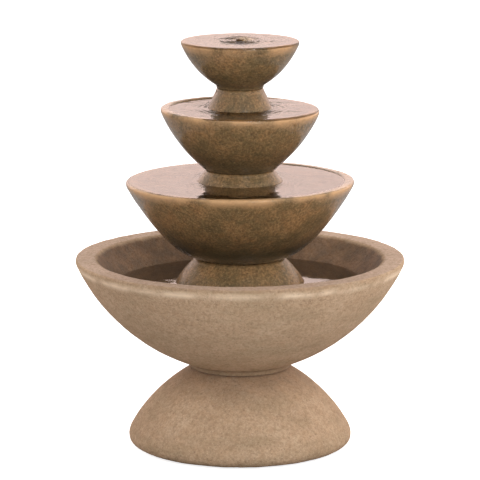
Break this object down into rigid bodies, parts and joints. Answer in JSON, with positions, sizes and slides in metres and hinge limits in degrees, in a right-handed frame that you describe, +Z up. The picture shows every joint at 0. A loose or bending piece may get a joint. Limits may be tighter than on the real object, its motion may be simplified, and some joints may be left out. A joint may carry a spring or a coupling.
{
  "type": "tiered water fountain",
  "caption": "Free-standing cast-stone fountain: an open basin on a domed base, with spill bowls on hollow pedestals and a pump under a domed riser.",
  "frame": {"origin": "middle of the base's underside, on the ground", "axes": "+Z up along the fountain's axis, -Y towards the front, with the cord notch at the rear on +Y"},
  "size_m": [0.9144, 0.9144, 1.146],
  "materials": {
    "dry_stone": "pitted cast stone, dry",
    "wet_stone": "pitted cast stone, wet and dark",
    "pad_rubber": "matt",
    "sleeve_plastic": "matt",
    "tube_vinyl": "clear vinyl",
    "brass": "turned",
    "washer_rubber": "matt",
    "stopper_rubber": "matt",
    "pump_plastic": "fine grain",
    "dial_plastic": "smooth",
    "impeller_plastic": "smooth",
    "magnet": "sintered ferrite",
    "shaft_ceramic": "polished",
    "bush_rubber": "matt",
    "seal_rubber": "matt",
    "adapter_plastic": "matt",
    "clamp_steel": "brushed",
    "foot_rubber": "satin"
  },
  "bodies": {
    "base": {"base_pedestal": "dry_stone", "basin_pads": "pad_rubber"},
    "basin": {"basin": "dry_stone", "stopper_washer": "washer_rubber", "supply_tube": "tube_vinyl", "pump_housing": "pump_plastic", "volute_cover": "pump_plastic", "chamber_seal": "seal_rubber", "rear_bush": "bush_rubber", "front_bush": "bush_rubber", "rotor_shaft": "shaft_ceramic", "suction_feet": "foot_rubber", "outlet_adapter": "adapter_plastic", "hose_clamp": "clamp_steel", "clamp_screw": "clamp_steel", "cord_gland": "foot_rubber"},
    "stopper": {"drain_stopper": "stopper_rubber"},
    "intake": {"intake_cover": "pump_plastic"},
    "dial": {"flow_dial": "dial_plastic"},
    "rotor": {"impeller": "impeller_plastic", "rotor_magnet": "magnet"},
    "riser": {"riser": "wet_stone", "lower_bowl_pads": "pad_rubber"},
    "lower_bowl": {"lower_bowl": "wet_stone", "lower_sleeve": "sleeve_plastic"},
    "lower_pedestal": {"lower_pedestal": "wet_stone", "middle_bowl_pads": "pad_rubber"},
    "middle_bowl": {"middle_bowl": "wet_stone", "middle_sleeve": "sleeve_plastic"},
    "upper_pedestal": {"upper_pedestal": "wet_stone", "top_bowl_pads": "pad_rubber"},
    "top_bowl": {"top_bowl": "wet_stone", "outlet_nozzle": "brass", "nozzle_washer": "washer_rubber", "nozzle_locknut": "brass"}
  },
  "joints": [
    {"name": "basin_lift", "type": "slide", "parent": "base", "child": "basin", "axis": [0, 0, 1], "range_m": [0, 0.12]},
    {"name": "stopper_pull", "type": "slide", "parent": "basin", "child": "stopper", "axis": [0, 0, 1], "range_m": [0, 0.08]},
    {"name": "intake_pull", "type": "slide", "parent": "basin", "child": "intake", "axis": [0, -1, 0], "range_m": [0, 0.04]},
    {"name": "dial_turn", "type": "hinge", "parent": "intake", "child": "dial", "pos_m": [0, -0.0362, 0.388], "axis": [0, -1, 0], "range_deg": [0, 120]},
    {"name": "impeller_spin", "type": "hinge", "parent": "basin", "child": "rotor", "pos_m": [0, 0.009, 0.404], "axis": [0, -1, 0], "continuous": true},
    {"name": "riser_lift", "type": "slide", "parent": "basin", "child": "riser", "axis": [0, 0, 1], "range_m": [0, 0.16]},
    {"name": "lower_bowl_lift", "type": "slide", "parent": "riser", "child": "lower_bowl", "axis": [0, 0, 1], "range_m": [0, 0.12]},
    {"name": "lower_pedestal_lift", "type": "slide", "parent": "lower_bowl", "child": "lower_pedestal", "axis": [0, 0, 1], "range_m": [0, 0.18]},
    {"name": "middle_bowl_lift", "type": "slide", "parent": "lower_pedestal", "child": "middle_bowl", "axis": [0, 0, 1], "range_m": [0, 0.12]},
    {"name": "upper_pedestal_lift", "type": "slide", "parent": "middle_bowl", "child": "upper_pedestal", "axis": [0, 0, 1], "range_m": [0, 0.15]},
    {"name": "top_bowl_lift", "type": "slide", "parent": "upper_pedestal", "child": "top_bowl", "axis": [0, 0, 1], "range_m": [0, 0.12]}
  ]
}
